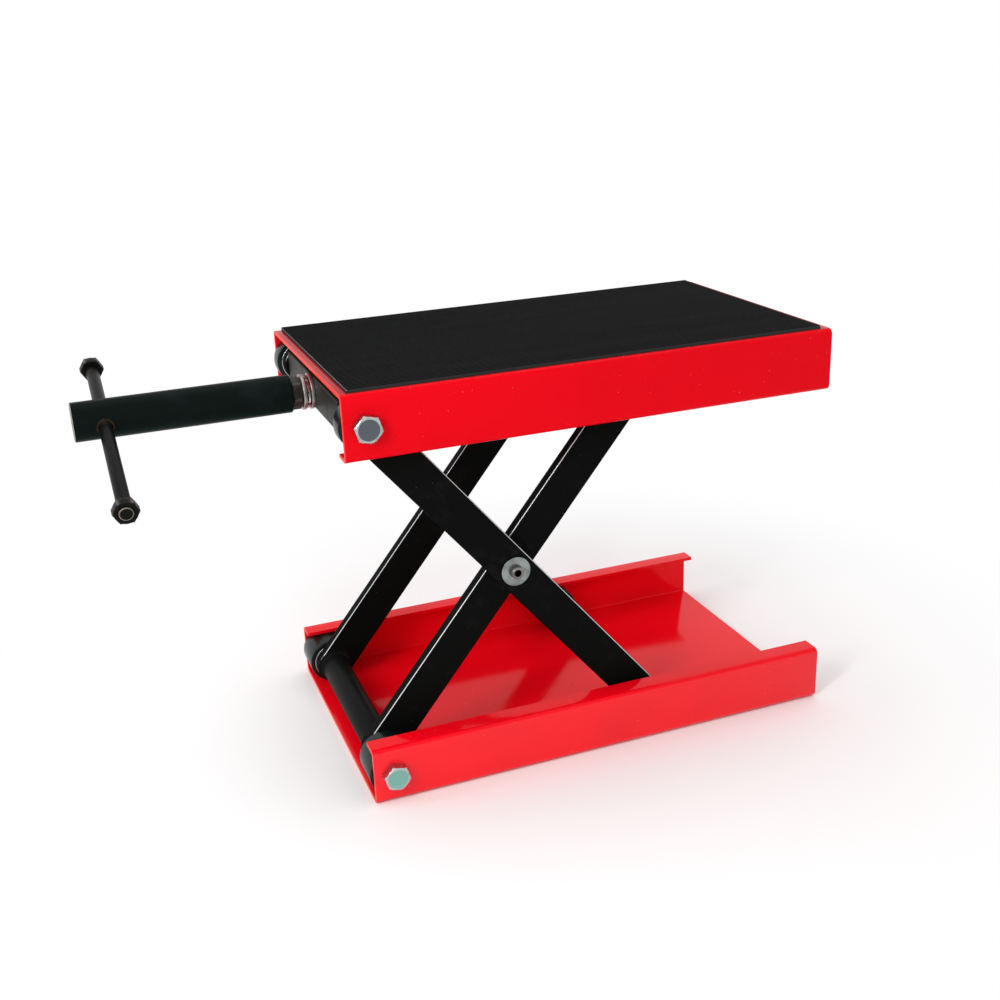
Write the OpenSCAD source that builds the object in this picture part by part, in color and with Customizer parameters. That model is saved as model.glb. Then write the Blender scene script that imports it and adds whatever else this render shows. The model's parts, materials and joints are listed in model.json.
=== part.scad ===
// Wide-deck scissor jack, raised and lowered by a screw turned with a sliding T-bar.
// Origin: middle of the base's underside. +X runs away from the handle, +Z is up.
// Near is the -Y side and far is the +Y side.

/* [Channels] */
// Length of the base and of the deck
frame_len = 400; // [340:1:500]
// Height of the base's side walls
base_h = 46.5; // [44:0.5:60]
// Width of the deck across its side walls
deck_w = 230; // [200:1:290]
// Distance that each side wall of the base stands outside the deck
base_step = 5; // [2:0.5:15]
// Height of the deck's side walls
deck_h = 50; // [44:0.5:65]
// Thickness of the sheet steel
sheet_t = 3; // [2:0.5:4]
// Outside radius of the sheet's bends
bend_r = 4.5; // [4.2:0.1:6]
// Width of the lips that turn inwards
lip_w = 18; // [12:0.5:18]

/* [Deck mat] */
// Thickness of the rubber mat
mat_t = 3; // [1.5:0.5:6]
// Bare deck left at the handle end
mat_inset_front = 6; // [2:0.5:20]
// Bare deck left at the other end
mat_inset_back = 8; // [2:0.5:20]
// Bare deck left along each side
mat_inset_side = 5; // [5:0.5:20]

/* [Scissor arms] */
// Distance between an arm's end pivots
arm_len = 362; // [290:1:363]
// Width of the arm bar
arm_w = 31; // [24:0.5:32]
// Thickness of the arm bar
arm_t = 10; // [6:0.5:10]
// Distance from the base's end to the fixed pivots
pivot_inset = 17; // [16:0.5:24]
// Angle of the arms above level as built
lift_angle = 50.6; // [20:0.1:55]
// Gap between an outer arm and the inner arm beside it
arm_gap = 1.5; // [1:0.1:3]
// Gap between the deck's lips and the outer arms
lip_gap = 2.5; // [1:0.1:3.5]

/* [Pivot hardware] */
// Diameter of the pivot bolts
bolt_d = 12; // [8:0.5:13]
// Size of the bolt heads across their flats
bolt_af = 19; // [17:0.5:22]
// Height of the bolt heads
bolt_head_h = 7.5; // [5:0.5:10]
// Turn of the bolt heads about their own axes
bolt_turn = 13; // [0:1:59]
// Depth of bolt thread in the cross bar and in the thrust block
bolt_grip = 22; // [15:1:30]
// Diameter of the spacers on the fixed pivots
spacer_d = 39; // [28:0.5:39]
// Diameter of the round bar between the inner arms
cross_bar_d = 24; // [20:0.5:28]
// Diameter of the washers at the arm ends
arm_washer_d = 32; // [26:0.5:33]
// Thickness of the washers at the arm ends
arm_washer_t = 1.5; // [1:0.1:2.5]
// Diameter of the centre pins inside the arms
centre_pin_d = 12; // [10:0.5:14]
// Diameter of the centre pins' outer ends
pin_tip_d = 10; // [8:0.5:10]
// Length of the centre pins' outer ends beyond their washers
pin_tip_proud = 4; // [2:0.5:6]
// Diameter of the centre pins' heads
pin_head_d = 20; // [16:0.5:24]
// Thickness of the centre pins' heads
pin_head_t = 3; // [2:0.5:5]
// Size of the hexagon socket in a centre pin
pin_socket_af = 5; // [4:0.5:5.5]
// Depth of the hexagon socket in a centre pin
pin_socket_depth = 5; // [2:0.5:7]
// Diameter of the washers on the centre pins
centre_washer_d = 24; // [20:0.5:30]
// Thickness of the washers on the centre pins
centre_washer_t = 2; // [1:0.1:3]

/* [Rollers] */
// Diameter of the pins that carry the rollers
roller_pin_d = 14; // [10:0.5:14]
// Gap left above and below a roller in its channel
roller_gap = 0.5; // [0.4:0.1:1]
// Chamfer on the rims of rollers and spacers
rim_chamfer = 1; // [0.5:0.1:2]

/* [Screw drive] */
// Outside diameter of the lifting screw's thread
screw_d = 16; // [14:0.5:16]
// Diameter of the screw's journal in the thrust bearing
journal_d = 15; // [12:0.5:15]
// Distance from the screw's end to the deck's end
screw_end_inset = 8; // [4:0.5:12]
// Thickness of the thrust block and of the nut block along X
block_w = 25; // [22:0.5:26]
// Height of the thrust block and of the nut block
block_h = 25; // [22:0.5:26]
// Outside diameter of the thrust bearing
bearing_d = 28; // [26:0.5:32]
// Length of the thrust bearing
bearing_len = 9; // [8:0.5:12]
// Thickness of each bearing race
race_t = 2.8; // [2:0.1:3]
// Number of balls in the bearing
ball_count = 12; // [8:1:12]
// Diameter of the ring that holds the screw in the thrust block
keeper_d = 24; // [20:0.5:28]
// Width of the ring that holds the screw in the thrust block
keeper_t = 5; // [3:0.5:8]

/* [Handle] */
// Size of the hexagon collar across its flats
collar_af = 22.5; // [22.5:0.5:26]
// Length of the hexagon collar
collar_len = 8; // [6:0.2:20]
// Turn of the hexagon collar about the screw
collar_turn = 15; // [0:1:59]
// Outside diameter of the handle tube
handle_d = 29.5; // [28:0.5:34]
// Wall of the handle tube
handle_wall = 3.5; // [3:0.5:4.5]
// Length of the handle tube
handle_len = 161.4; // [100:0.2:220]
// Depth of the collar's spigot inside the handle tube
spigot_len = 20; // [10:1:30]
// Distance from the tube's open end to the T-bar
t_bar_inset = 22.5; // [15:0.5:40]
// Diameter of the T-bar
t_bar_d = 10; // [8:0.5:12]
// Length of the T-bar
t_bar_len = 232; // [160:1:280]
// Distance that the T-bar is slid towards the near side
t_bar_slid = 23; // [-60:1:60]
// Tilt of the T-bar, far end up
t_bar_tilt = 11.5; // [-90:0.5:90]
// Size of the T-bar's nuts across their flats
t_nut_af = 16; // [15:0.5:19]
// Thickness of the T-bar's nuts
t_nut_h = 8; // [5:0.5:10]
// Length of T-bar beyond each nut
t_bar_tip = 1; // [0:0.5:4]

/* [Fits] */
// Radial clearance of a pin that turns in its hole
run_clear = 0.05; // [0.02:0.01:0.1]
// Radial clearance of a pin that stays fixed in its hole
fix_clear = 0.02; // [0.01:0.01:0.04]
// Clearance between flat faces that slide past each other
side_clear = 0.1; // [0.05:0.01:0.2]
// Clearance between a roller or spacer and the side wall beside it
wall_clear = 0.5; // [0.3:0.1:0.7]
// Radial clearance of the T-bar in the handle tube
t_bar_clear = 0.3; // [0.1:0.1:0.8]

/* [Hidden] */
$fn = 96;

// The fixed pivots lie at half the height of each channel's side walls.
base_w = deck_w + 2 * base_step;
pivot_x = -frame_len / 2 + pivot_inset;
lower_z = base_h / 2;
upper_z = lower_z + arm_len * sin(lift_angle);
slide_x = pivot_x + arm_len * cos(lift_angle);
centre_x = (pivot_x + slide_x) / 2;
centre_z = (lower_z + upper_z) / 2;
deck_z = upper_z - deck_h / 2;

// Distances from the middle plane to the faces met on the way in from a side wall.
base_wall_y = base_w / 2 - sheet_t;
deck_wall_y = deck_w / 2 - sheet_t;
outer_arm_y = deck_w / 2 - lip_w - lip_gap;
outer_arm_in_y = outer_arm_y - arm_t;
inner_arm_y = outer_arm_in_y - arm_gap;
inner_arm_in_y = inner_arm_y - arm_t;

lower_roller_d = base_h - 2 * sheet_t - 2 * roller_gap;
upper_roller_d = deck_h - 2 * sheet_t - 2 * roller_gap;

// The bearing sits on the thrust block's outer face, and the handle lies beyond it.
block_x = pivot_x - block_w / 2;
bearing_x = block_x - bearing_len;
collar_x = bearing_x - side_clear - collar_len;
handle_x = collar_x - handle_len;
t_bar_x = handle_x + t_bar_inset;
screw_end_x = frame_len / 2 - screw_end_inset;
// The balls fill the space between the races, less a little play on each side.
ball_play = 0.05;
ball_d = bearing_len - 2 * race_t - 2 * ball_play;
ball_circle_r = (bearing_d + journal_d) / 4;
cage_t = ball_d / 3;
cage_clear = 0.15;

module mirrored_y() {
  children();
  mirror([0, 1, 0]) children();
}

// A solid cylinder or tube along +Y from y = 0, as a turned section with chamfered rims.
module rod_y(d, len, bore = 0, chamfer = 0) {
  rotate([-90, 0, 0]) rotate_extrude()
    polygon([[bore / 2, 0], [d / 2 - chamfer, 0], [d / 2, chamfer],
      [d / 2, len - chamfer], [d / 2 - chamfer, len], [bore / 2, len]]);
}

// The same along +X from x = 0.
module rod_x(d, len, bore = 0, chamfer = 0) {
  rotate([0, 0, -90]) rod_y(d, len, bore, chamfer);
}

// A hexagon prism along +Y from y = 0, with its corners cut to a cone at the far face.
module hex_y(af, len) {
  corner_d = af / cos(30);
  intersection() {
    rotate([-90, 0, 0]) cylinder(d = corner_d, h = len, $fn = 6);
    rotate([-90, 0, 0]) rotate_extrude()
      polygon([[0, 0], [corner_d / 2, 0], [corner_d / 2, len - (corner_d - af) / 3],
        [af / 2 - 0.2, len], [0, len]]);
  }
}

// A rectangle with round corners, made of squares and circles and centred on the origin.
module round_rect(w, h, r) {
  square([w - 2 * r, h], center = true);
  square([w, h - 2 * r], center = true);
  for (x = [-1, 1], y = [-1, 1])
    translate([x * (w / 2 - r), y * (h / 2 - r)]) circle(r);
}

// Section of a folded channel that is open upwards, centred on the origin.
module channel_section(w, h) {
  difference() {
    round_rect(w, h, bend_r);
    round_rect(w - 2 * sheet_t, h - 2 * sheet_t, bend_r - sheet_t);
    translate([0, h / 2]) square([w - 2 * lip_w, 4 * sheet_t], center = true);
  }
}

// A channel along X with a pivot hole through each side wall, centred on its pivots' height.
module channel(w, h, hole_d) {
  difference() {
    rotate([90, 0, 90]) translate([0, 0, -frame_len / 2])
      linear_extrude(frame_len) channel_section(w, h);
    translate([pivot_x, -w, 0]) rod_y(hole_d, 2 * w);
  }
}

// A flat bar with round ends along +X from its first pivot, drilled at both ends and midway.
module arm(first_d, middle_d, last_d) {
  difference() {
    rotate([90, 0, 0]) translate([0, 0, -arm_t]) linear_extrude(arm_t) {
      translate([0, -arm_w / 2]) square([arm_len, arm_w]);
      circle(d = arm_w);
      translate([arm_len, 0]) circle(d = arm_w);
    }
    translate([0, -1, 0]) rod_y(first_d, arm_t + 2);
    translate([arm_len / 2, -1, 0]) rod_y(middle_d, arm_t + 2);
    translate([arm_len, -1, 0]) rod_y(last_d, arm_t + 2);
  }
}

// Inner arms rise from the lower pivots; outer arms fall from the upper pivots.
module inner_arm() {
  translate([pivot_x, 0, lower_z]) rotate([0, -lift_angle, 0])
    arm(bolt_d + 2 * fix_clear, centre_pin_d + 2 * fix_clear, roller_pin_d + 2 * run_clear);
}

module outer_arm() {
  translate([pivot_x, 0, upper_z]) rotate([0, lift_angle, 0])
    arm(bolt_d + 2 * run_clear, centre_pin_d + 2 * run_clear, roller_pin_d + 2 * fix_clear);
}

// A bolt along +Y with its head's underside on the side wall's outer face, and both of a pair.
module pivot_bolts(wall_y, grip_y, z) {
  mirrored_y() translate([pivot_x, -wall_y, z]) {
    rotate([0, bolt_turn, 0]) mirror([0, 1, 0]) hex_y(bolt_af, bolt_head_h);
    rod_y(bolt_d, wall_y - grip_y + bolt_grip, chamfer = 0.8);
  }
}

// A washer beside each arm end, on the arm's outer face.
module arm_end_washers(x, z, arm_y, bore) {
  mirrored_y() translate([x, -arm_y - side_clear - arm_washer_t, z])
    rod_y(arm_washer_d, arm_washer_t, bore);
}

// A spacer or roller that fills the room between a side wall and an arm end's washer.
module filler(x, z, d, wall_y, arm_y, bore) {
  len = wall_y - wall_clear - arm_y - arm_washer_t - 2 * side_clear;
  translate([x, -wall_y + wall_clear, z]) rod_y(d, len, bore, rim_chamfer);
}

// A block of rectangular bar across the jack, centred on a pivot line.
module cross_block(half_len) {
  translate([-block_w / 2, -half_len, -block_h / 2]) cube([block_w, 2 * half_len, block_h]);
}

module base_channel() {
  color("red") translate([0, 0, lower_z]) channel(base_w, base_h, bolt_d + 2 * run_clear);
}

module deck_channel() {
  color("red") translate([0, 0, upper_z]) mirror([0, 0, 1])
    channel(deck_w, deck_h, bolt_d + 2 * fix_clear);
}

module rubber_mat() {
  color([0.08, 0.09, 0.09])
    translate([-frame_len / 2 + mat_inset_front, -deck_w / 2 + mat_inset_side, deck_z + deck_h])
      cube([frame_len - mat_inset_front - mat_inset_back, deck_w - 2 * mat_inset_side, mat_t]);
}

module inner_arm_near() {
  color([0.06, 0.06, 0.06]) translate([0, -inner_arm_y, 0]) inner_arm();
}

module inner_arm_far() {
  color([0.06, 0.06, 0.06]) translate([0, inner_arm_in_y, 0]) inner_arm();
}

module outer_arm_near() {
  color([0.06, 0.06, 0.06]) translate([0, -outer_arm_y, 0]) outer_arm();
}

module outer_arm_far() {
  color([0.06, 0.06, 0.06]) translate([0, outer_arm_in_y, 0]) outer_arm();
}

module lower_cross_bar() {
  half_len = inner_arm_in_y;
  color([0.09, 0.09, 0.09]) translate([pivot_x, 0, lower_z]) difference() {
    translate([0, -half_len, 0]) rod_y(cross_bar_d, 2 * half_len);
    mirrored_y() translate([0, -half_len - 1, 0])
      rod_y(bolt_d + 2 * fix_clear, bolt_grip + 3);
  }
}

module lower_pivot_bolts() {
  color([0.75, 0.76, 0.78]) pivot_bolts(base_w / 2 + side_clear, inner_arm_in_y, lower_z);
}

module lower_pivot_spacers() {
  color([0.07, 0.07, 0.07]) mirrored_y()
    filler(pivot_x, lower_z, spacer_d, base_wall_y, inner_arm_y, bolt_d + 2 * run_clear);
}

module lower_pivot_washers() {
  color([0.75, 0.76, 0.78])
    arm_end_washers(pivot_x, lower_z, inner_arm_y, bolt_d + 2 * run_clear);
}

module thrust_block() {
  half_len = outer_arm_in_y - side_clear;
  color([0.09, 0.09, 0.09]) translate([pivot_x, 0, upper_z]) difference() {
    cross_block(half_len);
    mirrored_y() translate([0, -half_len - 1, 0])
      rod_y(bolt_d + 2 * fix_clear, bolt_grip + 3);
    translate([-block_w, 0, 0]) rod_x(journal_d + 2 * run_clear, 2 * block_w);
  }
}

module upper_pivot_bolts() {
  color([0.75, 0.76, 0.78]) pivot_bolts(deck_w / 2, outer_arm_in_y, upper_z);
}

module upper_pivot_spacers() {
  color([0.07, 0.07, 0.07]) mirrored_y()
    filler(pivot_x, upper_z, spacer_d, deck_wall_y, outer_arm_y, bolt_d + 2 * run_clear);
}

module upper_pivot_washers() {
  color([0.75, 0.76, 0.78])
    arm_end_washers(pivot_x, upper_z, outer_arm_y, bolt_d + 2 * run_clear);
}

// Each pin's head bears on the inner arm, and its tip passes through a washer to a hexagon socket.
module centre_pins() {
  shank_len = 2 * arm_t + arm_gap;
  tip_len = side_clear + centre_washer_t + pin_tip_proud;
  color([0.7, 0.71, 0.72]) mirrored_y() translate([centre_x, 0, centre_z]) difference() {
    union() {
      translate([0, -inner_arm_in_y, 0]) rod_y(pin_head_d, pin_head_t, chamfer = 0.6);
      translate([0, -outer_arm_y, 0]) rod_y(centre_pin_d, shank_len);
      translate([0, -outer_arm_y - tip_len, 0]) rod_y(pin_tip_d, tip_len + 1, chamfer = 0.6);
    }
    translate([0, -outer_arm_y - tip_len - 1, 0]) rotate([-90, 0, 0])
      cylinder(d = pin_socket_af / cos(30), h = pin_socket_depth + 1, $fn = 6);
  }
}

module centre_washers() {
  color([0.75, 0.76, 0.78]) mirrored_y()
    translate([centre_x, -outer_arm_y - side_clear - centre_washer_t, centre_z])
      rod_y(centre_washer_d, centre_washer_t, pin_tip_d + 2 * fix_clear);
}

module arm_spacer_washers() {
  color([0.75, 0.76, 0.78]) mirrored_y()
    translate([centre_x, -outer_arm_in_y + side_clear, centre_z])
      rod_y(centre_washer_d, arm_gap - side_clear, centre_pin_d + 2 * fix_clear);
}

module lower_roller_pins() {
  color([0.6, 0.61, 0.62]) mirrored_y()
    translate([slide_x, -base_wall_y + wall_clear, lower_z])
      rod_y(roller_pin_d, base_wall_y - wall_clear - outer_arm_in_y, chamfer = 0.8);
}

module lower_roller() {
  filler(slide_x, lower_z, lower_roller_d, base_wall_y, outer_arm_y,
    roller_pin_d + 2 * run_clear);
}

module lower_roller_near() {
  color([0.07, 0.07, 0.07]) lower_roller();
}

module lower_roller_far() {
  color([0.07, 0.07, 0.07]) mirror([0, 1, 0]) lower_roller();
}

module lower_roller_washers() {
  color([0.75, 0.76, 0.78])
    arm_end_washers(slide_x, lower_z, outer_arm_y, roller_pin_d + 2 * fix_clear);
}

// The nut block spans the inner arms, and its turned ends carry the upper rollers.
module nut_block() {
  half_len = inner_arm_in_y - side_clear;
  pin_y = deck_wall_y - wall_clear;
  color([0.1, 0.1, 0.1]) translate([slide_x, 0, upper_z]) difference() {
    union() {
      cross_block(half_len);
      translate([0, -pin_y, 0]) rod_y(roller_pin_d, 2 * pin_y, chamfer = 0.8);
    }
    translate([-block_w, 0, 0]) rod_x(screw_d + 2 * run_clear, 2 * block_w);
  }
}

module upper_roller() {
  filler(slide_x, upper_z, upper_roller_d, deck_wall_y, inner_arm_y,
    roller_pin_d + 2 * run_clear);
}

module upper_roller_near() {
  color([0.07, 0.07, 0.07]) upper_roller();
}

module upper_roller_far() {
  color([0.07, 0.07, 0.07]) mirror([0, 1, 0]) upper_roller();
}

module upper_roller_washers() {
  color([0.75, 0.76, 0.78])
    arm_end_washers(slide_x, upper_z, inner_arm_y, roller_pin_d + 2 * fix_clear);
}

// The thread starts beyond the keeper ring, and the journal runs back into the handle.
module drive_screw() {
  thread_x = block_x + block_w + side_clear;
  journal_x = collar_x - spigot_len;
  color([0.55, 0.55, 0.54]) translate([0, 0, upper_z]) {
    translate([journal_x, 0, 0]) rod_x(journal_d, thread_x - journal_x + keeper_t, chamfer = 0.5);
    translate([thread_x + keeper_t, 0, 0])
      rod_x(screw_d, screw_end_x - thread_x - keeper_t, chamfer = 0.8);
  }
}

module screw_keeper_ring() {
  color([0.5, 0.5, 0.5]) translate([block_x + block_w + side_clear, 0, upper_z])
    rod_x(keeper_d, keeper_t, journal_d + 2 * fix_clear, 0.5);
}

module race(x, bore) {
  color([0.7, 0.7, 0.68]) translate([x, 0, upper_z]) rod_x(bearing_d, race_t, bore, 0.4);
}

module bearing_fixed_race() {
  race(block_x - race_t, journal_d + 2 * run_clear);
}

module bearing_turning_race() {
  race(bearing_x, journal_d + 2 * fix_clear);
}

// A flat ring with a pocket round each ball.
module bearing_cage() {
  ring_r = ball_d / 2 + 0.7;
  color([0.62, 0.6, 0.52]) translate([bearing_x + (bearing_len - cage_t) / 2, 0, upper_z])
    difference() {
      rod_x(2 * (ball_circle_r + ring_r), cage_t, 2 * (ball_circle_r - ring_r));
      for (i = [0 : ball_count - 1])
        rotate([360 / ball_count * i, 0, 0]) translate([-1, 0, ball_circle_r])
          rod_x(ball_d + 2 * cage_clear, cage_t + 2);
    }
}

module bearing_balls() {
  color([0.8, 0.8, 0.8]) translate([bearing_x + bearing_len / 2, 0, upper_z])
    for (i = [0 : ball_count - 1])
      rotate([360 / ball_count * i, 0, 0]) translate([0, 0, ball_circle_r]) sphere(d = ball_d);
}

// A hexagon collar with a round spigot that carries the handle tube.
module collar_nut() {
  spigot_d = handle_d - 2 * handle_wall - 2 * fix_clear;
  color([0.25, 0.24, 0.23]) translate([collar_x, 0, upper_z]) difference() {
    union() {
      rotate([collar_turn, 0, 0]) rotate([0, 0, -90]) hex_y(collar_af, collar_len);
      translate([-spigot_len, 0, 0]) rod_x(spigot_d, spigot_len + 1, chamfer = 0);
    }
    translate([-spigot_len - 1, 0, 0])
      rod_x(journal_d + 2 * fix_clear, spigot_len + collar_len + 2);
  }
}

module handle_tube() {
  color([0.07, 0.08, 0.08]) translate([handle_x, 0, upper_z]) difference() {
    rod_x(handle_d, handle_len, handle_d - 2 * handle_wall, 0.8);
    rotate([t_bar_tilt, 0, 0]) translate([t_bar_inset, -handle_d, 0])
      rod_y(t_bar_d + 2 * t_bar_clear, 2 * handle_d);
  }
}

// Places the T-bar's middle at the origin of its children, with +Y along the bar.
module on_t_bar() {
  translate([t_bar_x, 0, upper_z]) rotate([t_bar_tilt, 0, 0]) translate([0, -t_bar_slid, 0])
    children();
}

module t_bar() {
  color([0.1, 0.1, 0.1]) on_t_bar() translate([0, -t_bar_len / 2, 0])
    rod_y(t_bar_d, t_bar_len, chamfer = 0.5);
}

module t_bar_nuts() {
  color([0.12, 0.12, 0.12]) on_t_bar() mirrored_y()
    translate([0, t_bar_len / 2 - t_bar_tip - t_nut_h, 0]) difference() {
      hex_y(t_nut_af, t_nut_h);
      translate([0, -1, 0]) rod_y(t_bar_d + 2 * fix_clear, t_nut_h + 2);
    }
}

base_channel();
deck_channel();
rubber_mat();
inner_arm_near();
inner_arm_far();
outer_arm_near();
outer_arm_far();
lower_cross_bar();
lower_pivot_bolts();
lower_pivot_spacers();
lower_pivot_washers();
thrust_block();
upper_pivot_bolts();
upper_pivot_spacers();
upper_pivot_washers();
centre_pins();
centre_washers();
arm_spacer_washers();
lower_roller_pins();
lower_roller_near();
lower_roller_far();
lower_roller_washers();
nut_block();
upper_roller_near();
upper_roller_far();
upper_roller_washers();
drive_screw();
screw_keeper_ring();
bearing_fixed_race();
bearing_turning_race();
bearing_cage();
bearing_balls();
collar_nut();
handle_tube();
t_bar();
t_bar_nuts();
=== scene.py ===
"""Looks for a wide-deck scissor jack: folded red channels, crossed black arms, a lifting screw and its T-bar.

Lengths are in metres, in the frame of the packed model: +X away from the handle, +Z up, -Y the near side.
"""

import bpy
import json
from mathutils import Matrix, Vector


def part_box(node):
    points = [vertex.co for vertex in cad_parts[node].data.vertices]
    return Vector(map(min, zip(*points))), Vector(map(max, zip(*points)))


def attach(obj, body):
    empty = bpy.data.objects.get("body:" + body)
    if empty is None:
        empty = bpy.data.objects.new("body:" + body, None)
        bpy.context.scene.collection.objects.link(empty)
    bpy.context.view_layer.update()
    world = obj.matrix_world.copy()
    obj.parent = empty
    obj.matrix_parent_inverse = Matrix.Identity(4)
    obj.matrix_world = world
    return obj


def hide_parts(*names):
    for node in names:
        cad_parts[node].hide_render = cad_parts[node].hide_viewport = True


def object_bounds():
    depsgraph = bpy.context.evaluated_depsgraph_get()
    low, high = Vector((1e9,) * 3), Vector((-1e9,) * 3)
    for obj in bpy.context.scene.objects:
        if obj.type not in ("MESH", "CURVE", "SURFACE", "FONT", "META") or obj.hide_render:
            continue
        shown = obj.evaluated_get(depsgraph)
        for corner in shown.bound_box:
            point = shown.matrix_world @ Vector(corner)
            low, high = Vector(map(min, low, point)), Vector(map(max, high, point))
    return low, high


bl_info = {
    "name": "Scissor jack finishes",
    "version": (1, 0, 0),
    "blender": (4, 5, 0),
    "location": "View3D > Sidebar > Scissor jack",
    "description": "Detailed sheet metal, hardware, rubber and paint for a screw-driven scissor jack",
    "category": "Object",
}

import json
import math

import bmesh
import bpy
import numpy as np
from bpy.props import FloatProperty, FloatVectorProperty, IntProperty, PointerProperty
from mathutils import Matrix, Vector

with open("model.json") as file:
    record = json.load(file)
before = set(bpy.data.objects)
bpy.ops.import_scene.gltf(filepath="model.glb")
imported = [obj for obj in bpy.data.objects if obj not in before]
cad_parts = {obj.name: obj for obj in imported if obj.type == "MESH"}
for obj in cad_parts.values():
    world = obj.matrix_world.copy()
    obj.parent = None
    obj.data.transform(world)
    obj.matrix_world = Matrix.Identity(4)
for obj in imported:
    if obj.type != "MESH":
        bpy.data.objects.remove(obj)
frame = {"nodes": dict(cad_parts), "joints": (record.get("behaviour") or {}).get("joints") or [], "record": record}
CAD_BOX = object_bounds()

MM = 0.001
TURN = 2 * math.pi
SHARP_ANGLE = math.radians(34)
SOFT_ANGLE = math.radians(50)
ALONG_X = (1, 0, 0)
ALONG_Y = (0, 1, 0)
SIDES = (-1, 1)
# A bolt head's top: its flat face's radius as a share of the width across flats, and the bright rim around its
# painted disc, a painted reflection on the flat face.
BOLT_FACE = 0.475
BOLT_RIM = 1.1 * MM
WASHER_FILLET = 0.3 * MM
# How far from the tube's axis the T-bar comes out of it.
HOLE_REACH = 13.6 * MM
BLOCK_CORNER, BLOCK_EDGE = 1.4 * MM, 0.8 * MM


# ---------------------------------------------------------------- sizes read from the frame


def unit(v):
    """The vector at length one."""
    v = np.asarray(v, float)
    return v / np.linalg.norm(v)


def unit_rows(rows):
    """Each row at length one."""
    return rows / np.linalg.norm(rows, axis=1)[:, None]


def axes_along(axis):
    """Two directions at right angles to the axis and to each other, right-handed with it."""
    axis = unit(axis)
    side = np.array([0.0, 0.0, 1.0]) if abs(axis[2]) < 0.9 else np.array([1.0, 0.0, 0.0])
    first = unit(np.cross(side, axis))
    return first, np.cross(axis, first)


def low_high(node):
    """The lowest and highest corners of a CAD node, as arrays."""
    low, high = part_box(node)
    return np.array(low), np.array(high)


def middle(node):
    """The centre of a CAD node's box."""
    low, high = low_high(node)
    return (low + high) / 2


def span(node):
    """The centre and the half sizes of a CAD node's box, as plain numbers for a material."""
    low, high = low_high(node)
    return ((low + high) / 2).tolist(), ((high - low) / 2).tolist()


def joint(name):
    """The packed joint with this name."""
    return next(j for j in frame["joints"] if j["name"] == name)


def pivot(name):
    """A joint's pivot point as an array."""
    return np.array(joint(name)["pos_m"], float)


BODY_OF = {node: body for body, nodes in frame["record"]["behaviour"]["bodies"].items() for node in nodes}


def corners(node):
    """The points of a CAD node's mesh as an array."""
    mesh = frame["nodes"][node].data
    flat = np.zeros(len(mesh.vertices) * 3, np.float32)
    mesh.vertices.foreach_get("co", flat)
    return flat.reshape(-1, 3).astype(float)


def extent(points, centre, axis):
    """Least and greatest distance along the axis from the centre, then least and greatest distance from the axis."""
    away = points - np.asarray(centre, float)
    along = away @ np.asarray(axis, float)
    off = np.linalg.norm(away - along[:, None] * np.asarray(axis, float), axis=1)
    return along.min(), along.max(), off.min(), off.max()


def corner_turn(points, centre, axis):
    """How far a hexagon on this axis is turned: a sixth of a turn less the angle of its farthest corner."""
    first, second = axes_along(axis)
    away = points - np.asarray(centre, float)
    a, b = away @ first, away @ second
    farthest = np.argmax(a * a + b * b)
    return math.pi / 6 - math.atan2(b[farthest], a[farthest])


def either_side(node, centre, axis=ALONG_Y):
    """The points of a node's two like pieces, either side of the centre, each with its outward axis."""
    points, axis = corners(node), np.asarray(axis, float)
    before = (points - centre) @ axis < 0
    return (points[before], -axis), (points[~before], axis)


LOWER_PIVOT = pivot("lift")
CENTRE_PIVOT = pivot("cross")
UPPER_PIVOT = pivot("deck_level")
NUT_PIVOT = pivot("nut_level")
SCREW_Z = UPPER_PIVOT[2]
SLIDE_X = NUT_PIVOT[0]
LOWER_SLIDE = np.array([SLIDE_X, 0.0, LOWER_PIVOT[2]])
UPPER_SLIDE = np.array([SLIDE_X, 0.0, SCREW_Z])
SCREW_LINE = np.array([0.0, 0.0, SCREW_Z])
T_BAR_AXIS = np.array(joint("t_bar_slide")["axis"], float)
T_BAR_CENTRE = np.array([middle("t_bar")[0], 0.0, SCREW_Z])


# ---------------------------------------------------------------- meshes


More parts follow.
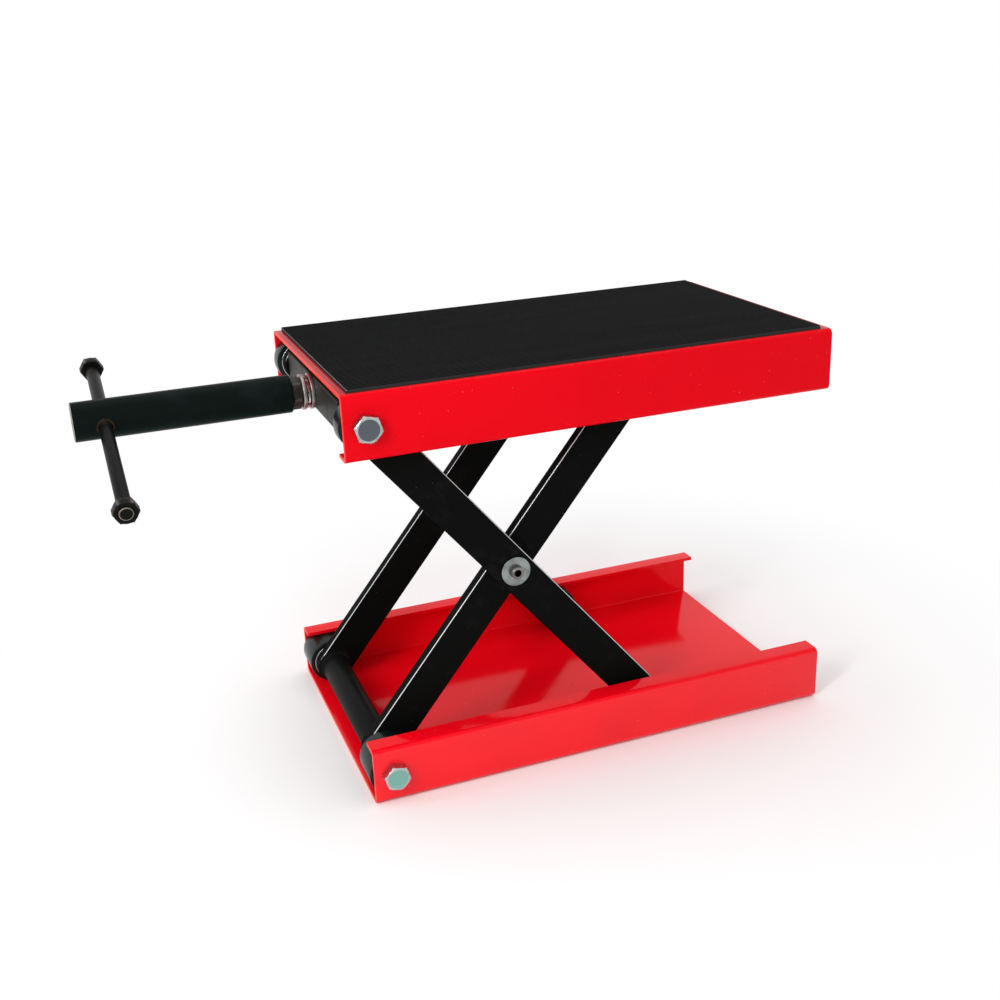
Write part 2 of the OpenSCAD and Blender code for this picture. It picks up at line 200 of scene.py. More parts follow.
class Shell:
    """Collects grids of points into one closed mesh."""

    def __init__(self):
        self.points, self.faces, self.rims, self.count = [], [], [], 0

    def grid(self, p, wrap_v=False, flip=False, rim=None):
        """Adds a surface from an array of points with shape (u, v, 3), joined to quads.

        rim gives each point a number from 0 to 1, kept as an attribute that tells edges from faces.
        """
        nu, nv = p.shape[:2]
        self.rims.append(np.zeros(nu * nv, np.float32) if rim is None else rim.ravel().astype(np.float32))
        ids = self.count + np.arange(nu * nv).reshape(nu, nv)
        if wrap_v:
            ids = np.concatenate([ids, ids[:, :1]], 1)
        quads = np.stack([ids[:-1, :-1], ids[1:, :-1], ids[1:, 1:], ids[:-1, 1:]], -1).reshape(-1, 4)
        self.faces += (quads[:, ::-1] if flip else quads).tolist()
        self.points.append(p.reshape(-1, 3))
        self.count += nu * nv
        return ids

    def cap(self, ids, flip=False):
        """Closes a loop of points with one flat face."""
        loop = list(map(int, ids))
        self.faces.append(loop[::-1] if flip else loop)

    def quads(self, ids, flip=False):
        """Adds four-sided faces from rows of point numbers."""
        self.faces += (ids[:, ::-1] if flip else ids).tolist()

    def build(self, name, material, node, sharp=SHARP_ANGLE):
        """Makes the object in place of the CAD node, welds its seams and poles, and hands it to the node's body."""
        mesh = bpy.data.meshes.new(name)
        mesh.from_pydata(np.concatenate(self.points).tolist(), [], self.faces)
        mesh.update()
        if any(np.any(rim) for rim in self.rims):
            mesh.attributes.new("rim", "FLOAT", "POINT").data.foreach_set("value", np.concatenate(self.rims))
        weld(mesh)
        mesh.shade_smooth()
        mesh.set_sharp_from_angle(angle=sharp)
        mesh.materials.append(material)
        piece = bpy.data.objects.new(name, mesh)
        bpy.context.scene.collection.objects.link(piece)
        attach(piece, BODY_OF[node])
        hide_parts(node)


def weld(mesh):
    """Merges points that coincide, drops faces without area, and turns normals outwards."""
    work = bmesh.new()
    work.from_mesh(mesh)
    bmesh.ops.remove_doubles(work, verts=work.verts, dist=2e-7)
    bmesh.ops.dissolve_degenerate(work, edges=work.edges, dist=1e-8)
    bmesh.ops.recalc_face_normals(work, faces=work.faces)
    work.to_mesh(mesh)
    work.free()


def turned(shell, profile, centre, axis, steps=72, radius_at=None, rim=None):
    """Turns a profile of (distance along the axis, radius) pairs about the axis.

    A point is centre + along * axis + radius * (cos a * first + sin a * second). radius_at, if given,
    takes the radii and the angles and returns the radii to use, which makes hexagons.
    """
    profile = np.asarray(profile, float)
    angle = np.arange(steps) * TURN / steps
    along = profile[:, 0][:, None] * np.ones(steps)
    radius = profile[:, 1][:, None] * np.ones(steps)
    if radius_at is not None:
        radius = radius_at(radius, angle[None, :], along)
    first, second = axes_along(axis)
    p = (
        np.asarray(centre, float)
        + along[..., None] * unit(axis)
        + radius[..., None] * (np.cos(angle)[None, :, None] * first + np.sin(angle)[None, :, None] * second)
    )
    if rim is not None:
        rim = rim(radius, along)
    return shell.grid(p, wrap_v=True, rim=rim)


def worn_corners(across_flats):
    """Rim values of a hexagon: 1 at its corners, falling quickly to 0 on its flats."""

    def rim(radius, along):
        reach = across_flats / math.sqrt(3) - across_flats / 2
        return np.clip((radius - across_flats / 2) / reach, 0, 1) ** 2.5

    return rim


def corner(along, radius, fillet, start, steps=4):
    """Points of a quarter-round profile corner: its middle is (along, radius), and it turns from start."""
    a = math.radians(start) + np.linspace(0, math.pi / 2, steps + 1)
    return np.stack([along + fillet * np.cos(a), radius + fillet * np.sin(a)], 1)


def solid_profile(length, radius, fillet, start=0.0):
    """Profile of a solid round bar from its near pole to its far pole, with rounded rims."""
    near = corner(start + fillet, radius - fillet, fillet, 90)[::-1]
    far = corner(start + length - fillet, radius - fillet, fillet, 0)[::-1]
    flat = radius - 1.4 * fillet
    ends = [[start, 0.0], [start, flat]], [[start + length, flat], [start + length, 0.0]]
    return np.concatenate([ends[0], near, far, ends[1]])


def ring_profile(length, outer, inner, fillet, start=0.0, bore_fillet=None, groove=None):
    """Closed profile of a ring: outside from the near rim to the far rim, then back through the bore.

    The points of a groove, if given, go into the far face.
    """
    f = fillet if bore_fillet is None else bore_fillet
    return np.concatenate(
        [
            corner(start + fillet, outer - fillet, fillet, 90)[::-1],
            corner(start + length - fillet, outer - fillet, fillet, 0)[::-1],
            np.empty((0, 2)) if groove is None else groove,
            corner(start + length - f, inner + f, f, -90)[::-1],
            corner(start + f, inner + f, f, 180)[::-1],
            [[start, outer - fillet]],
        ]
    )


def hexagon(across_flats, turn):
    """Radius of a hexagon with slightly rounded corners at an angle: half the flats over the cosine from the flat."""
    rounding = 0.012

    def radius_at(radius, angle, along):
        local = np.mod(angle + turn + math.pi / 6, math.pi / 3) - math.pi / 6
        softened = np.sqrt(np.cos(local) ** 2 + rounding * np.sin(2.6 * local) ** 4)
        return np.minimum(radius, across_flats / 2 / softened)

    return radius_at


def bent_sheet(path, thickness):
    """Outer and inner points beside a centre path in the YZ plane, by half the thickness along its normals."""
    tangent = unit_rows(np.gradient(path, axis=0))
    normal = np.stack([tangent[:, 1], -tangent[:, 0]], 1)
    return path + normal * thickness / 2, path - normal * thickness / 2


# ---------------------------------------------------------------- shader maths


def plug(tree, place, given):
    """Links a value or a socket into the place, or sets the place's own number, colour or vector."""
    if isinstance(given, Value):
        given = given.socket
    if isinstance(given, bpy.types.NodeSocket):
        tree.links.new(given, place)
    else:
        place.default_value = given


def maths(operation, swapped=False):
    """A Value method that adds a Math node; its terms are swapped in the reflected forms."""

    def method(self, *others):
        node = self.tree.nodes.new("ShaderNodeMath")
        node.operation = operation
        for place, term in zip(node.inputs, (*others, self) if swapped else (self, *others)):
            plug(self.tree, place, term)
        return Value(self.tree, node.outputs[0])

    return method


class Value:
    """A socket that takes part in sums: each operator adds its Math node."""

    def __init__(self, tree, socket):
        self.tree, self.socket = tree, socket

    __add__ = __radd__ = maths("ADD")
    __mul__ = __rmul__ = maths("MULTIPLY")
    __sub__, __rsub__ = maths("SUBTRACT"), maths("SUBTRACT", swapped=True)
    __truediv__, __rtruediv__ = maths("DIVIDE"), maths("DIVIDE", swapped=True)
    __abs__, cosine, root = maths("ABSOLUTE"), maths("COSINE"), maths("SQRT")
    most, least = maths("MAXIMUM"), maths("MINIMUM")

    def ramp(self, start, end):
        """0 below start and 1 above end, with a smooth rise between; it falls if end is the lower."""
        node = self.tree.nodes.new("ShaderNodeMapRange")
        node.interpolation_type = "SMOOTHSTEP"
        low, high, out = (start, end, (0.0, 1.0)) if start < end else (end, start, (1.0, 0.0))
        for name, number in zip(("From Min", "From Max", "To Min", "To Max"), (low, high, *out)):
            node.inputs[name].default_value = number
        self.tree.links.new(self.socket, node.inputs["Value"])
        return Value(self.tree, node.outputs["Result"])


class Finish:
    """One Principled material, with helpers for position, noise, mixing and bump."""

    def __init__(self, name, **constants):
        self.material = bpy.data.materials.new(name)
        self.material.use_nodes = True
        self.tree = self.material.node_tree
        self.shader = next(n for n in self.tree.nodes if n.type == "BSDF_PRINCIPLED")
        for socket, number in constants.items():
            self.shader.inputs[socket.replace("_", " ")].default_value = number
        self.place = self.node("ShaderNodeTexCoord").outputs["Object"]
        parts = self.node("ShaderNodeSeparateXYZ", Vector=self.place).outputs
        self.x, self.y, self.z = (Value(self.tree, part) for part in parts)

    def node(self, kind, settings=None, **inputs):
        """Adds any node: its settings first, then the values or links of its sockets, by name or as i and a number."""
        made = self.tree.nodes.new(kind)
        for name, setting in (settings or {}).items():
            setattr(made, name, setting)
        for name, given in inputs.items():
            key = int(name[1:]) if name[0] == "i" and name[1:].isdigit() else name.replace("_", " ")
            plug(self.tree, made.inputs[key], given)
        return made

    def noise(self, scale, detail=2.0, rough=0.5, stretch=None):
        """Soft noise from 0 to 1 on object coordinates, stretched along axes if asked."""
        place = self.place
        if stretch is not None:
            place = self.node("ShaderNodeMapping", Vector=self.place, Scale=stretch).outputs[0]
        made = self.node("ShaderNodeTexNoise", Vector=place, Scale=scale, Detail=detail, Roughness=rough)
        return Value(self.tree, made.outputs[0])

    def specks(self, scale, size):
        """1 in small scattered dots and 0 elsewhere."""
        made = self.node("ShaderNodeTexVoronoi", Vector=self.place, Scale=scale, Randomness=1.0)
        return Value(self.tree, made.outputs["Distance"]).ramp(size, size * 0.4)

    def rim(self):
        """The mesh's rim attribute: 1 on edges and 0 on faces."""
        return Value(self.tree, self.node("ShaderNodeAttribute", {"attribute_name": "rim"}).outputs["Fac"])

    def mix(self, mask, first, second):
        """A colour that goes from first to second as the mask goes from 0 to 1."""
        made = self.node("ShaderNodeMix", {"data_type": "RGBA"})
        self.tree.links.new(mask.socket, made.inputs[0])
        for place, given in ((made.inputs[6], first), (made.inputs[7], second)):
            plug(self.tree, place, (*given, 1.0) if isinstance(given, tuple) else given)
        return made.outputs[2]

    def feed(self, socket, given):
        """Links a value or colour to one of the shader's sockets."""
        plug(self.tree, self.shader.inputs[socket], given)

    def bump(self, height, depth, strength):
        """Bumps the surface by a height field that spans the depth in metres."""
        made = self.node("ShaderNodeBump", Height=height, Distance=depth, Strength=strength)
        self.feed("Normal", made.outputs["Normal"])

    def from_axis(self, centre, axis):
        """Distance from a line along X or Y through the centre."""
        place, at = (self.y, centre[1]) if axis == "X" else (self.x, centre[0])
        across, up = place - float(at), self.z - float(centre[2])
        return (across * across + up * up).root()


def colours():
    """The colour settings of the scene."""
    return bpy.context.scene.jack_colours


def sizes():
    """The size settings of the scene."""
    return bpy.context.scene.jack_sizes


def seen_directly(tree):
    """1 on rays from the camera, in reflections and through clear surfaces, and 0 on all others."""
    path = tree.nodes.new("ShaderNodeLightPath").outputs
    seen = Value(tree, path["Is Camera Ray"])
    for ray in ("Is Glossy Ray", "Is Transmission Ray"):
        seen = seen.most(Value(tree, path[ray]))
    return seen


def kept(make):
    """Turns a function that fills in a Finish into one that makes each named material on first use."""

    def once(name, *settings, **named):
        return bpy.data.materials.get(name) or make(name, *settings, **named).material

    once.__doc__ = make.__doc__
    return once


@kept
def red_enamel(name, level, polished_from, tone):
    """Gloss enamel on sheet: faint waviness, dust, thin pale paint along the cut ends and dark glue around the mat.

    The outer walls, farther than polished_from from the middle, have a clear coat.
    """
    f = Finish(name, Specular_IOR_Level=level, Coat_Roughness=0.1, Coat_IOR=1.35)
    if polished_from:
        f.feed("Coat Weight", abs(f.y).ramp(polished_from - 0.8 * MM, polished_from))
    # Painted light: tone scales this one red up for the base and down for the deck.
    red, thin = tuple(c * tone for c in colours().enamel), tuple(colours().thin_enamel)
    base = f.mix(f.noise(14, 3).ramp(0.35, 0.75), red, tuple(c * 0.92 for c in red))
    (base_x, _, _), (reach, _, _) = span("base_channel")
    ends = abs(f.x - base_x).ramp(reach - 0.7 * MM, reach - 0.15 * MM)
    base = f.mix(ends * 0.8, base, thin)
    (mat_x, _, mat_z), (half_x, half_y, half_z) = span("rubber_mat")
    deck_top = mat_z - half_z
    beside_x = abs(f.x - mat_x).ramp(half_x + 5.7 * MM, half_x + 4.6 * MM)
    beside_y = abs(f.y).ramp(half_y + 2.5 * MM, half_y + 0.3 * MM)
    on_top = f.z.ramp(deck_top - 0.4 * MM, deck_top - 0.1 * MM)
    # Painted shade and dark reflection: a dark band on the deck's top beside the mat.
    base = f.mix(beside_x * beside_y * on_top * 0.7, base, (0.20, 0.014, 0.012))
    dust = f.specks(170, 0.085) * f.noise(30, 1).ramp(0.48, 0.58)
    base = f.mix(dust * 0.45, base, (0.95, 0.42, 0.34))
    f.feed("Base Color", base)
    f.feed("Roughness", 0.09 + f.noise(40, 2) * 0.05 + ends * 0.25)
    f.bump(f.noise(70, 2, 0.4) + dust * 0.4, 0.05 * MM, 0.35)
    return f


@kept
def black_paint(name, dark, worn, gloss=0.34, level=0.1, coat=0.0, wear=0.45, edge=None):
    """Black paint: scuffs, dust and a slight sag in the film. The rim attribute brings out a worn edge."""
    f = Finish(name, Specular_IOR_Level=level, Coat_Roughness=0.1, Coat_Weight=coat)
    scuff = f.noise(52, 5, 0.62).ramp(0.55, 0.72)
    base = f.mix(scuff * wear, dark, worn)
    dust = f.specks(260, 0.05) * f.noise(35, 1).ramp(0.52, 0.64)
    base = f.mix(dust * 0.6, base, (0.14, 0.14, 0.12))
    if edge:
        base = f.mix(f.rim() * f.noise(180, 3).ramp(0.25, 0.6) * 0.6, base, edge)
    f.feed("Base Color", base)
    f.feed("Roughness", gloss + scuff * 0.14 + f.noise(9, 2) * 0.06)
    f.bump(f.noise(150, 3, 0.55) + dust * 0.5, 0.05 * MM, 0.45)
    return f


@kept
def arm_paint(name):
    """Satin black on flat bar: rubbed rings at the crossing, dust, and glossier paint on the rounded edges."""
    f = Finish(name, Specular_IOR_Level=0.01, Coat_Roughness=0.16, Coat_IOR=1.5)
    scuff = f.noise(52, 5, 0.6).ramp(0.55, 0.7)
    rubbed = f.from_axis(CENTRE_PIVOT, "Y").ramp(30 * MM, 14 * MM) * f.noise(140, 3).ramp(0.45, 0.62)
    base = f.mix((scuff * 0.35 + rubbed * 0.5).least(1.0), (0.0042, 0.0046, 0.0043), (0.012, 0.0122, 0.0115))
    dust = f.specks(220, 0.09) * f.noise(35, 1).ramp(0.5, 0.64)
    base = f.mix(dust * 0.7, base, (0.12, 0.115, 0.09))
    # Painted highlight: where the rim attribute is high, the edge turns pale and gets a clear coat.
    bright = f.rim().ramp(0.3, 0.95)
    f.feed("Base Color", f.mix(bright * 0.9, base, (0.82, 0.86, 0.86)))
    f.feed("Roughness", 0.34 + scuff * 0.15)
    f.feed("Coat Weight", bright)
    f.bump(f.noise(120, 3, 0.5) + dust * 0.5, 0.04 * MM, 0.4)
    return f


@kept
def handle_paint(name):
    """Green-black gloss: cloudy handling marks, brown steel around the T-bar's holes, and a bare open end."""
    f = Finish(name, Specular_IOR_Level=0.02)
    cloudy = f.noise(28, 5, 0.6).ramp(0.5, 0.75)
    base = f.mix(cloudy * 0.7, (0.0036, 0.0066, 0.0058), (0.009, 0.0125, 0.0135))
    # Painted reflection: the underside of the tube is painted greener, for the pale floor it faces.
    under = (float(SCREW_Z) - f.z).ramp(4 * MM, 11 * MM)
    base = f.mix(under * 0.8, base, (0.0035, 0.0125, 0.0095))
    for side in SIDES:
        hole = T_BAR_CENTRE + side * HOLE_REACH * T_BAR_AXIS
        away = f.node("ShaderNodeVectorMath", {"operation": "DISTANCE"}, i0=f.place, i1=tuple(hole)).outputs["Value"]
        rust = Value(f.tree, away).ramp(7.4 * MM, 5.0 * MM) * f.noise(500, 3).ramp(0.3, 0.6)
        base = f.mix(rust * 0.7, base, (0.07, 0.04, 0.022))
    open_end = float(low_high("handle_tube")[0][0])
    base = f.mix(f.x.ramp(open_end + 0.95 * MM, open_end + 0.6 * MM) * 0.8, base, (0.34, 0.32, 0.29))
    f.feed("Base Color", base)
    f.feed("Roughness", 0.26 + cloudy * 0.2)
    f.bump(f.noise(110, 3, 0.5), 0.05 * MM, 0.5)
    return f


def nut_paint():
    """Blackened nut and bar with paint rubbed to brown steel in patches and along the edges."""
    edge = (0.30, 0.255, 0.21)
    return black_paint("t_bar_black", (0.0045, 0.0045, 0.0042), (0.045, 0.034, 0.026), 0.3, 0.04, 0.03, 0.6, edge)


@kept
def plated(name, bright, dull, rough=0.2, grain=900, centres=()):
    """Plated or turned steel: cloudy patches and fine tool lines, with a dulled disc about each centre."""
    f = Finish(name, Metallic=1.0)
    cloudy = f.noise(130, 4, 0.6)
    base = f.mix(cloudy.ramp(0.35, 0.7), bright, dull)
    for centre, radius, tone in centres:
        base = f.mix(f.from_axis(centre, "Y").ramp(radius + 0.2 * MM, radius - 0.2 * MM), base, tone)
    f.feed("Base Color", base)
    f.feed("Roughness", rough + cloudy.ramp(0.3, 0.8) * 0.16)
    f.bump(f.noise(grain, 2, 0.5), 0.02 * MM, 0.35)
    return f


def zinc(name="zinc_bright", centres=()):
    """Bright zinc plate."""
    return plated(name, (0.52, 0.55, 0.56), (0.36, 0.38, 0.39), centres=centres)


@kept
def greased_steel(name, crest, core):
    """The lifting screw's steel: dirty patches, and dark grease between the crest's radius and the core's."""
    f = Finish(name, Metallic=1.0)
    dirty = f.noise(60, 4, 0.6).ramp(0.4, 0.7)
    deep = f.from_axis(SCREW_LINE, "X").ramp(crest - 0.3 * MM, core)
    base = f.mix(dirty * 0.6, (0.30, 0.285, 0.26), (0.15, 0.14, 0.12))
    f.feed("Base Color", f.mix(deep * 0.8, base, (0.05, 0.042, 0.032)))
    f.feed("Roughness", 0.22 + dirty * 0.2)
    f.bump(f.noise(600, 2, 0.5), 0.02 * MM, 0.4)
    return f


@kept
def rubber(name):
    """Black rubber: faint dusty streaks along the ribs and a fine grain."""
    dark, ribs = tuple(colours().rubber), sizes().ribs
    (x, y, z), (half_x, half_y, half_z) = span("rubber_mat")
    f = Finish(name, Specular_IOR_Level=0.05)
    streak = f.noise(9, 4, 0.55, stretch=(0.4, 6.0, 1.0))
    base = f.mix(streak.ramp(0.38, 0.66), tuple(c * 1.2 for c in dark), tuple(c * 3.3 for c in dark))
    crest = ((f.y - (y - half_y)) * (TURN * ribs / (2 * half_y))).cosine().ramp(-0.1, 0.6)
    base = f.mix(crest, tuple(c * 0.35 for c in dark), base)
    cut = abs(f.x - x).ramp(half_x - 0.9 * MM, half_x - 0.3 * MM)
    upper = f.z.ramp(z + half_z - 1.3 * MM, z + half_z - 0.7 * MM)
    side = abs(f.y).ramp(y + half_y - 0.5 * MM, y + half_y - 0.1 * MM)
    base = f.mix((side * 0.7).most(cut * 0.4), base, (0.032, 0.032, 0.031))
    f.feed("Base Color", f.mix(cut * crest * upper * 0.85, base, (0.5, 0.5, 0.48)))
    f.feed("Roughness", 0.5 + streak * 0.2)
    f.bump(f.noise(700, 2, 0.6), 0.05 * MM, 0.5)
    return f


# ---------------------------------------------------------------- settings


def metres(name, description, default, low, high):
    """A length setting."""
    return FloatProperty(
        name=name, description=description, default=default, min=low, max=high,
        precision=4, subtype="DISTANCE", unit="LENGTH",
    )


def colour(name, description, default):
    """A colour setting."""
    return FloatVectorProperty(
        name=name, description=description, default=default, size=3, min=0, max=1, subtype="COLOR"
    )


class JackSizes(bpy.types.PropertyGroup):
    """Sizes of the detail that the finished pieces add."""

    sheet: metres("Sheet thickness", "Thickness of the folded sheet", 3 * MM, 0.001, 0.006)
    bend: metres("Bend radius", "Outside radius of the folds", 4.5 * MM, 0.002, 0.01)
    lip: metres("Lip width", "Width of the lips that turn inwards", 18 * MM, 0.005, 0.04)
    arm_edge: metres("Arm edge", "Rounding along the arms' edges", 1.5 * MM, 0.0002, 0.004)
    ribs: IntProperty(name="Ribs", description="Number of ribs across the mat", default=66, min=8, max=150)
    rib_height: metres("Rib height", "Height of the mat's ribs", 0.8 * MM, 0.0001, 0.002)
    bolt_flats: metres("Bolt flats", "Width across flats of the pivot bolts", 19 * MM, 0.01, 0.03)
    bolt_height: metres("Bolt height", "Height of the pivot bolts' heads", 7.5 * MM, 0.003, 0.02)
    bolt_diameter: metres("Bolt diameter", "Diameter of the pivot bolts", 12 * MM, 0.005, 0.02)
    pin_diameter: metres("Pin diameter", "Diameter of the centre pins' tips", 10 * MM, 0.005, 0.02)
    pin_head: metres("Pin head", "Thickness of the centre pins' heads", 3 * MM, 0.001, 0.01)
    socket_flats: metres("Socket flats", "Width across flats of the centre pins' sockets", 5 * MM, 0.002, 0.008)
    socket_depth: metres("Socket depth", "Depth of the centre pins' sockets", 5 * MM, 0.001, 0.01)
    weld: metres("Weld", "Size of the weld bead at the cross bar's ends", 3.5 * MM, 0.001, 0.008)
    screw_pitch: metres("Screw pitch", "Distance between turns of the lifting screw's thread", 4 * MM, 0.001, 0.008)


class JackColours(bpy.types.PropertyGroup):
    """Colours of the finishes."""

    enamel: colour("Enamel", "Red enamel on the sheet metal", (0.84, 0.0016, 0.009))
    thin_enamel: colour("Thin enamel", "Enamel over the cut ends", (0.80, 0.075, 0.055))
    rubber: colour("Rubber", "Rubber mat", (0.0085, 0.0095, 0.0098))
    floor: colour("Floor", "Studio floor", (0.93, 0.93, 0.93))


class PieceOperator:
    """What the operators that make pieces share."""

    bl_options = {"REGISTER", "UNDO"}


# ---------------------------------------------------------------- pieces


def channel_path(width, height, sheet, bend, lip):
    """Centre line of a folded channel that opens upwards, from one lip's edge to the other's.

    Straight runs joined by quarter circles of the sheet's middle radius, in Y and Z about the channel's centre.
    """
    r = bend - sheet / 2
    y, z = width / 2 - sheet / 2, height / 2 - sheet / 2
    half = np.concatenate(
        [
            np.linspace([0.0, -z], [y - r, -z], 5)[:-1],
            corner(y - r, -z + r, r, -90, 8),
            corner(y - r, z - r, r, 0, 8),
            np.linspace([y - r, z], [width / 2 - lip, z], 3)[1:],
        ]
    )
    left = half[::-1] * [-1, 1]
    return np.concatenate([left[:-1], half])


def folded_channel(name, node, opens_up, material):
    """A sheet swept along X: the folded section's outer and inner lines, drawn in a little at both cut ends.

    Each station's points lie between the outer and inner lines by the edge rounding there, so the cut
    edges are round as a painted shear edge is.
    """
    s = sizes()
    low, high = low_high(node)
    size, centre = high - low, (low + high) / 2
    path = channel_path(size[1], size[2], s.sheet, s.bend, s.lip)
    outer, inner = bent_sheet(path, s.sheet)
    edge = 0.5 * MM
    a = np.linspace(0, math.pi / 2, 5)
    draw = edge * (1 - np.cos(a))
    half = size[0] / 2
    x = np.concatenate([edge - half - edge * np.sin(a[::-1]), half - edge + edge * np.sin(a)])
    inset = np.concatenate([draw[::-1], draw])
    along = unit_rows(np.gradient(path, axis=0))
    across = (outer - inner) / s.sheet
    line = np.concatenate([outer, inner[::-1]])
    away = np.concatenate([across, -across[::-1]])
    n = len(path)
    pull = np.zeros((2 * n, 2))
    pull[[0, -1]] = along[0]
    pull[[n - 1, n]] = -along[-1]
    section = line + (pull - away) * inset[:, None, None]
    p = np.empty((len(x), 2 * n, 3))
    p[..., 0] = centre[0] + x[:, None]
    p[..., 1:] = centre[1:] + section * [1, 1 if opens_up else -1]
    shell = Shell()
    ids = shell.grid(p, wrap_v=True)
    i = np.arange(n - 1)
    for row, turned_over in ((ids[0], True), (ids[-1], False)):
        shell.quads(np.stack([row[i], row[i + 1], row[2 * n - 2 - i], row[2 * n - 1 - i]], 1), turned_over)
    shell.build(name, material, node)


def plate(shell, centres, ways, radius, low, high, edge):
    """A flat solid across Y: its outline in X and Z swept over a rounded edge from the low face to the high face.

    The outline is a row of centres plus the radius along unit ways. At each level through the thickness
    the radius is less by the edge rounding there, and both faces are closed flat. The rim attribute is
    greatest halfway round the upward low edge.
    """
    b = np.linspace(0, math.pi / 2, 9)
    level = np.concatenate([low + edge - edge * np.cos(b), high - edge + edge * np.sin(b)])
    reach = np.concatenate([radius - edge + edge * np.sin(b), radius - edge + edge * np.cos(b)])
    bend = np.sin(2 * b) ** 5
    # Painted highlight mask: full on the low face's upward edges, 0.4 on the high face, 0.15 on edges facing down.
    rim = np.concatenate([bend, 0.4 * bend])[:, None] * np.clip(1.6 * ways[:, 1], 0.15, 1)[None]
    outline = centres[None] + ways[None] * reach[:, None, None]
    y = np.broadcast_to(level[:, None], outline.shape[:2])
    ids = shell.grid(np.stack([outline[..., 0], y, outline[..., 1]], -1), wrap_v=True, rim=rim)
    shell.cap(ids[0][:-1], True)
    shell.cap(ids[-1][:-1])


def flat_bar(shell, start, end, half_width, y_low, y_high, edge):
    """A flat bar with half-round ends about two pivots, in the XZ plane."""
    direction = unit(end - start)[[0, 2]]
    across = np.array([-direction[1], direction[0]])
    a = np.linspace(-math.pi / 2, math.pi / 2, 25)[:, None]
    round_end = np.cos(a) * direction + np.sin(a) * across
    ways = np.concatenate([round_end, -round_end])
    centres = np.concatenate([np.tile(end[[0, 2]], (25, 1)), np.tile(start[[0, 2]], (25, 1))])
    plate(shell, centres, ways, half_width, y_low, y_high, edge)


def square_bar(shell, centre, half, y_low, y_high, fillet, edge):
    """A square bar along Y with rounded corners: quarter circles about four centres inside the corners."""
    a = np.arange(4)[:, None] * math.pi / 2 + np.linspace(0, math.pi / 2, 6)[None]
    ways = np.stack([np.cos(a), np.sin(a)], -1).reshape(-1, 2)
    signs = np.repeat(np.array([[1, 1], [-1, 1], [-1, -1], [1, -1]]), 6, axis=0)
    centres = np.asarray(centre, float)[[0, 2]] + signs * (half - fillet)
    plate(shell, centres, ways, fillet, y_low, y_high, edge)


class JACK_OT_channels(PieceOperator, bpy.types.Operator):
    """Folds the base and the deck from sheet"""

    bl_idname = "jack.channels"
    bl_label = "Base and deck channels"

    def execute(self, context):
        wall_face = span("base_channel")[1][1] - 0.3 * MM
        # Painted light: the base's enamel is scaled to 1.07 and the deck's to 0.9, though both are one paint.
        base, deck = red_enamel("base_enamel", 0.12, wall_face, 1.07), red_enamel("deck_enamel", 0.04, 0, 0.9)
        folded_channel("base_sheet", "base_channel", True, base)
        folded_channel("deck_sheet", "deck_channel", False, deck)
        return {"FINISHED"}


class JACK_OT_mat(PieceOperator, bpy.types.Operator):
    """Makes the ribbed rubber mat"""

    bl_idname = "jack.mat"
    bl_label = "Rubber mat"

    def execute(self, context):
        s = sizes()
        low, high = low_high("rubber_mat")
        steps = s.ribs * 8
        y = np.linspace(low[1], high[1], steps + 1)
        phase = (y - low[1]) / (high[1] - low[1]) * s.ribs
        rib = np.clip(np.abs(np.mod(phase, 1) - 0.5) * 4 - 0.35, 0, 1)
        top = high[2] - s.rib_height * rib * rib * (3 - 2 * rib)
        edge = 0.35 * MM
        x = np.array([low[0], low[0] + 0.25 * edge, low[0] + edge, high[0] - edge, high[0] - 0.25 * edge, high[0]])
        drop = np.array([edge, 0.3 * edge, 0, 0, 0.3 * edge, edge])
        surface = np.empty((len(x), len(y), 3))
        surface[..., 0], surface[..., 1] = x[:, None], y[None]
        surface[..., 2] = top[None] - drop[:, None]
        under = surface[[0, -1]].copy()
        under[..., 2] = low[2]
        shell = Shell()
        shell.grid(surface)
        shell.grid(np.stack([under[0], surface[0]]), flip=True)
        shell.grid(np.stack([surface[-1], under[1]]), flip=True)
        shell.grid(np.stack([under[1], under[0]]), flip=True)
        for column in (0, -1):
            side = surface[:, column]
            foot = side * [1, 1, 0] + [0, 0, low[2]]
            shell.grid(np.stack([side, foot]))
        shell.build("mat_ribbed", rubber("mat_rubber_finish"), "rubber_mat", SOFT_ANGLE)
        return {"FINISHED"}


class JACK_OT_arms(PieceOperator, bpy.types.Operator):
    """Makes the four flat-bar arms with rounded edges"""

    bl_idname = "jack.arms"
    bl_label = "Scissor arms"

    def execute(self, context):
        ends = {"inner": (LOWER_PIVOT, UPPER_SLIDE), "outer": (UPPER_PIVOT, LOWER_SLIDE)}
        for pair, (start, end) in ends.items():
            for side in ("near", "far"):
                node = f"{pair}_arm_{side}"
                low, high = low_high(node)
                shell = Shell()
                flat_bar(shell, start, end, start[0] - low[0], low[1], high[1], sizes().arm_edge)
                shell.build(f"{pair}_bar_{side}", arm_paint("arm_paint"), node)
        return {"FINISHED"}


def bolt_head(shell, seat, outwards, across_flats, height, turn):
    """A hexagon head along the outwards axis: flats, a 32 degree cone over the corners and a shallow dished top."""
    dish = 0.25 * MM
    r, face = across_flats / math.sqrt(3), across_flats * BOLT_FACE
    cone = (r - face) * math.tan(math.radians(32))
    profile = [
        [0, 0], [0, across_flats / 2 - 0.4 * MM], [0.25 * MM, r], [height - cone - 0.1 * MM, r], [height - cone, r],
        [height - cone * 0.5, (r + face) / 2], [height - 0.12 * MM, face + 0.12 * MM], [height, face - 0.1 * MM],
        [height, face - 0.9 * MM], [height - 0.9 * dish, face - 1.4 * MM], [height - dish, face * 0.4],
        [height - dish, 0],
    ]
    turned(shell, profile, seat, outwards, 144, hexagon(across_flats, turn))


